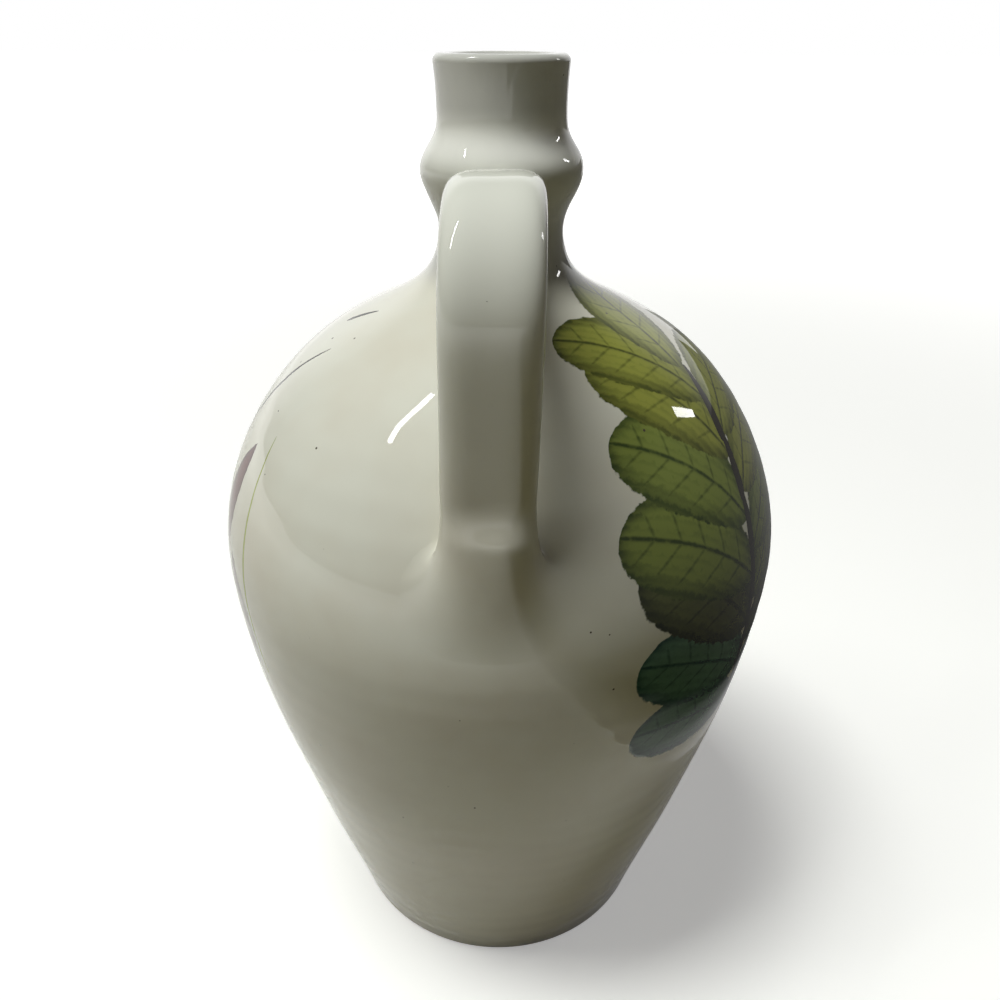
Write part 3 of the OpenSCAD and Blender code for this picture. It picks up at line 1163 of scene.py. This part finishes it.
@dataclass
class LowerRoot(Root):
    """Root of the strap on the shoulder, thumbed out to the sides and down in a tongue.

    Clay is laid over the strap's end: it swells to a soft step on the face and thins out downwards.
    """

    face_up: float = -1.0
    pad_t: float = 2.3
    pad_step: float = 13.0
    pad_delay: float = 1.6
    pad_length: float = 47.0
    pad_middle: float = 2.0
    pad_half_w: float = 11.5
    pad_edge: float = 4.0

    def pad(self, rings: Array) -> Array:
        """A step eased in over its height, faded out downwards and towards the sides of the outer face.

        Args:
            rings: Points of the root, as rings by points by 3.

        Returns:
            Offsets in millimetres, as rings by points.
        """
        down = rings[0, :, 2].max() - rings[..., 2]
        step = np.clip(down / self.pad_step, 0.0, 1.0) ** self.pad_delay
        fade = np.clip((self.pad_length - down) / (self.pad_length - self.pad_step), 0.0, 1.0)
        side = np.exp(-(((rings[..., 0] - self.pad_middle) / self.pad_half_w) ** 2))
        angle = np.linspace(0.0, math.tau, rings.shape[1], endpoint=False)
        outer = np.clip(self.pad_edge * np.sin(angle), 0.0, 1.0)
        return self.pad_t * smoothstep(step) * smoothstep(fade) * side * outer

    def strap_end(self) -> tuple[Array, Array, float]:
        """The strap's last point, heading down to the shoulder."""
        _, last, _, fall = self.strap.ends()
        return last, fall, 1.0


def bearing(azimuth: float, elevation: float) -> Vector:
    """Unit direction at an azimuth from -Y towards +X and an elevation, both in degrees."""
    a, e = math.radians(azimuth), math.radians(elevation)
    return Vector((math.sin(a) * math.cos(e), -math.cos(a) * math.cos(e), math.sin(e)))


def add_sheet(name: str, corners: list[tuple[float, float, float]], material: Material) -> Object:
    """One flat face through four corners in metres, with a material.

    Args:
        name: Name of the object and of its mesh.
        corners: The corners in turn.
        material: What the face is made of.

    Returns:
        The new object, linked to the scene.
    """
    mesh = bpy.data.meshes.new(name)
    mesh.from_pydata(corners, [], [(0, 1, 2, 3)])
    mesh.materials.append(material)
    return add_object(name, mesh)


@dataclass(frozen=True)
class Lamp:
    """A flat lamp that faces the middle of the vase, from one bearing to another, in degrees.

    A lamp that isn't mirrored only lights the vase: its image is kept off the glaze, as a polariser does.
    """

    name: str
    start: Pair
    end: Pair
    distance: float
    width: float
    power: float
    colour: str = WHITE
    mirrored: bool = True

    def place(self, target: Vector) -> None:
        """Adds the lamp.

        Args:
            target: Middle of the vase, in metres, from which the lamp's distance counts.
        """
        first, last = (target + bearing(*way) * self.distance for way in (self.start, self.end))
        away = ((first + last) / 2 - target).normalized()
        along = (last - first).normalized()
        along = (along - away * along.dot(away)).normalized()
        light = bpy.data.lights.new(self.name, "AREA")
        light.shape = "RECTANGLE"
        light.size, light.size_y = (last - first).length, self.width
        light.energy = self.power
        light.color = linear(self.colour)[:3]
        made = add_object(self.name, light)
        made.location = (first + last) / 2
        made.visible_glossy = self.mirrored
        made.rotation_euler = Matrix((along, away.cross(along), away)).transposed().to_euler()


@dataclass(frozen=True)
class Flag:
    """A card that leans away on the right, which only the glaze mirrors: it deepens that side.

    It is a painted dark reflection: dark low down, melting into the floor at its foot and both ends and into
    the wall at its top.
    """

    name: str = "dark_flag"
    dark_glow: float = 0.02
    end_glow: float = 0.46
    top_glow: float = 0.18
    foot_fade: float = 0.065
    dark_share: float = 0.3
    foot: float = 0.12
    top: float = 0.17
    height: float = 0.20
    near: float = -0.75
    far: float = 0.50

    def place(self) -> None:
        """Adds the card to the stage, beside the vase."""
        low, high = (self.foot, 0.0), (self.top, self.height)
        edges = ((low, self.near), (low, self.far), (high, self.far), (high, self.near))
        made = add_sheet(self.name, [(x, y, z) for (x, z), y in edges], self.felt())
        made.visible_camera = made.visible_diffuse = made.visible_shadow = False
        made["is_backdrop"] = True

    def felt(self) -> Material:
        """What the glaze mirrors, a painted dark reflection: a dark half oval at the card's foot, paler
        towards its edges.

        Returns:
            The material.
        """
        made = bpy.data.materials.new(f"{self.name}_felt")
        add = emptied(made)
        _, along, height = add("SeparateXYZ", [add("TexCoord")["Object"]])
        edge = add("MapRange", [height, 0.0, self.height, self.end_glow, self.top_glow])[0]
        own = add("CombineXYZ", [0.0, along, height])[0]
        middle = (0.0, (self.near + self.far) / 2, 0.0)
        size = (1.0, (self.far - self.near) / 2, self.height)
        own = add("Mapping", {"Vector": own, "Location": middle, "Scale": size}, vector_type="TEXTURE")[0]
        off = add("VectorMath", [own], "LENGTH")["Value"]
        round_off = add("MapRange", [off, self.dark_share, 1.0, self.dark_glow, edge], **SMOOTHSTEP)[0]
        low_down = add("MapRange", [height, 0.0, self.foot_fade, self.end_glow, 0.0], **SMOOTHSTEP)[0]
        glow = add("Math", [round_off, low_down], "MAXIMUM")[0]
        shine = add("Emission", {"Color": linear(WHITE), "Strength": glow})[0]
        add("OutputMaterial", [shine])
        return made


@dataclass(frozen=True)
class Studio:
    """Plain pale floor and white walls under a dim ceiling, with soft panels and a strip lamp on the left.

    The floor and walls shine white only to the eye and in reflections; the lamps light the vase.
    """

    floor_colour: str = "#ECECE8"
    bounce_colour: str = "#8F896B"
    floor_size: float = 24.0
    floor_glow: float = 0.14
    eye_glow: float = 0.22
    far_glow: float = 1.0
    glow_reach: Pair = (0.35, 2.2)
    back_wall: float = 1.0
    room_wall: float = 0.18
    back_edge: Pair = (0.5, 0.85)
    ceiling: float = 0.08
    wall_top: Pair = (0.42, 0.72)
    ambient: float = 0.012
    ambient_colour: str = "#FFDDB0"
    flags: tuple[Flag, ...] = (
        Flag(),
        Flag("far_flag", dark_glow=0.18, end_glow=0.18, foot=0.60, top=0.62, height=0.33, near=-1.5, far=1.2),
    )
    lamps: tuple[Lamp, ...] = (
        Lamp("soft_panel", (-88.0, 72.0), (-38.0, 72.0), 2.0, 0.8, 32.0, "#FBFDFB", mirrored=False),
        Lamp("side_panel", (-100.0, 15.0), (-62.0, 15.0), 2.0, 0.9, 2.0, "#FBFDFB", mirrored=False),
        Lamp("strip_left", (-69.0, 48.0), (-94.0, 69.0), 2.6, 0.08, 11.0, "#FBFDFB"),
        Lamp("window_right", (111.0, 30.0), (117.0, 22.0), 1.5, 0.07, 0.7),
    )

    def seen(self, add: partial) -> NodeSocket:
        """1 for rays from the camera and for those mirrored or let through by the object, else 0.

        Args:
            add: Helper that adds nodes to a material or world.

        Returns:
            The output socket.
        """
        path = add("LightPath")
        either = add("Math", [path["Is Camera Ray"], path["Is Glossy Ray"]], "MAXIMUM")[0]
        return add("Math", [either, path["Is Transmission Ray"]], "MAXIMUM")[0]

    def build(self, target: Vector) -> None:
        """Lays the floor, lights the surround and places the cards and lamps.

        Args:
            target: Middle of the vase, in metres, which the lamps face.
        """
        half = self.floor_size / 2
        corners = [(-half, -half, 0), (half, -half, 0), (half, half, 0), (-half, half, 0)]
        floor = add_sheet("floor", corners, self.floor_material())
        floor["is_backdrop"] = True
        self.surround()
        for flag in self.flags:
            flag.place()
        for lamp in self.lamps:
            lamp.place(target)

    def surround(self) -> None:
        """White to the eye, mirrored as walls under a dim ceiling, with a faint warm light from all round."""
        world = bpy.data.worlds.new("surround")
        bpy.context.scene.world = world
        add = emptied(world)
        _, back, height = add("SeparateXYZ", [add("TexCoord")["Generated"]])
        behind = add("MapRange", [back, *self.back_edge, self.room_wall, self.back_wall], **SMOOTHSTEP)[0]
        wall = add("MapRange", [height, *self.wall_top, behind, self.ceiling], **SMOOTHSTEP)[0]
        straight = add("LightPath")["Is Camera Ray"]
        shown = add("Math", [wall, straight], "MAXIMUM")[0]
        room = add("Background", {"Color": linear(WHITE), "Strength": shown})[0]
        light = add("Background", {"Color": linear(self.ambient_colour), "Strength": self.ambient})[0]
        both = add("MixShader", [self.seen(add), light, room])[0]
        add("OutputWorld", [both])

    def floor_material(self) -> Material:
        """Matt board that takes shadows, reads as white where it is lit and melts into the walls far off.

        Returns:
            The material.
        """
        made = bpy.data.materials.new("pale_board")
        add = emptied(made)
        far = add("VectorMath", [add("TexCoord")["Object"]], "LENGTH")["Value"]
        glow = add("MapRange", [far, *self.glow_reach, self.floor_glow, self.far_glow], **SMOOTHSTEP)[0]
        seen = self.seen(add)
        mirrored = add("Math", [seen, glow], "MULTIPLY")[0]
        straight = add("LightPath")["Is Camera Ray"]
        shown = add("Math", [straight, self.eye_glow, mirrored], "MULTIPLY_ADD")[0]
        colours = {6: linear(self.bounce_colour), 7: linear(self.floor_colour)}
        colour = add("Mix", {0: seen, **colours}, **RGBA)[2]
        matt = add("BsdfDiffuse", {"Color": colour})[0]
        light = add("Emission", {"Color": linear(WHITE), "Strength": shown})[0]
        both = add("AddShader", [matt, light])[0]
        add("OutputMaterial", [both])
        return made


@dataclass(frozen=True)
class Viewpoint:
    """Camera close above the handle's side, looking down at the vase."""

    azimuth: float = 1.9
    distance: float = 261.4
    height: float = 306.1
    pitch: float = 28.88
    roll: float = 0.26
    lens: float = 30.91
    sensor: float = 36.0
    clip_start: float = 0.01

    def place(self) -> None:
        """Adds the camera and makes it the scene's."""
        p = math.radians(self.pitch)
        away, up = bearing(self.azimuth, 0.0), Vector((0.0, 0.0, 1.0))
        forward = -away * math.cos(p) - up * math.sin(p)
        data = bpy.data.cameras.new("viewpoint")
        data.lens = self.lens
        data.sensor_width = self.sensor
        data.clip_start = self.clip_start
        made = add_object("viewpoint", data)
        made.location = (away * self.distance + up * self.height) * MM
        turn = forward.to_track_quat("-Z", "Y").to_matrix() @ Matrix.Rotation(math.radians(self.roll), 3, "Z")
        made.rotation_euler = turn.to_euler()
        bpy.context.scene.camera = made


def main() -> None:
    """Builds the camera, the vase's pieces and the studio, in that order."""
    logging.basicConfig(level=logging.INFO, format="%(name)s: %(message)s")
    bpy.context.scene.view_settings.view_transform = "Standard"
    Viewpoint().place()
    outline = Outline.of_frame()
    strap = Strap(outline)
    glaze = TinGlaze()
    plain = glaze.material("tin_glazed_earthenware", outline, [])
    painted = glaze.material("painted_tin_glazed_earthenware", outline, Garland(outline).strokes())
    pieces: list[ClayPiece] = [
        Belly(Piece.BODY, outline),
        Neck(Piece.NECK, outline),
        NeckCoil(Piece.NECK_COIL, outline),
        Handle(Piece.HANDLE, outline, strap),
        UpperRoot(Piece.UPPER_ROOT, outline, strap, seat_z=268.9, seat_up=4.2, seat_down=4.2,
                  seat_half_w=13.6, top_half_w=13.6),
        LowerRoot(Piece.LOWER_ROOT, outline, strap, seat_z=183.7, seat_up=14.6, seat_down=21.0,
                  seat_half_w=23.4, top_half_w=17.5, leave_share=0.26, arrive_share=0.46),
    ]
    for piece in pieces:
        piece.dress(piece.build(), painted if piece.piece in PAINTED else plain)
    low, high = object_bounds()
    Studio().build((low + high) / 2)


if __name__ == "__main__":
    main()
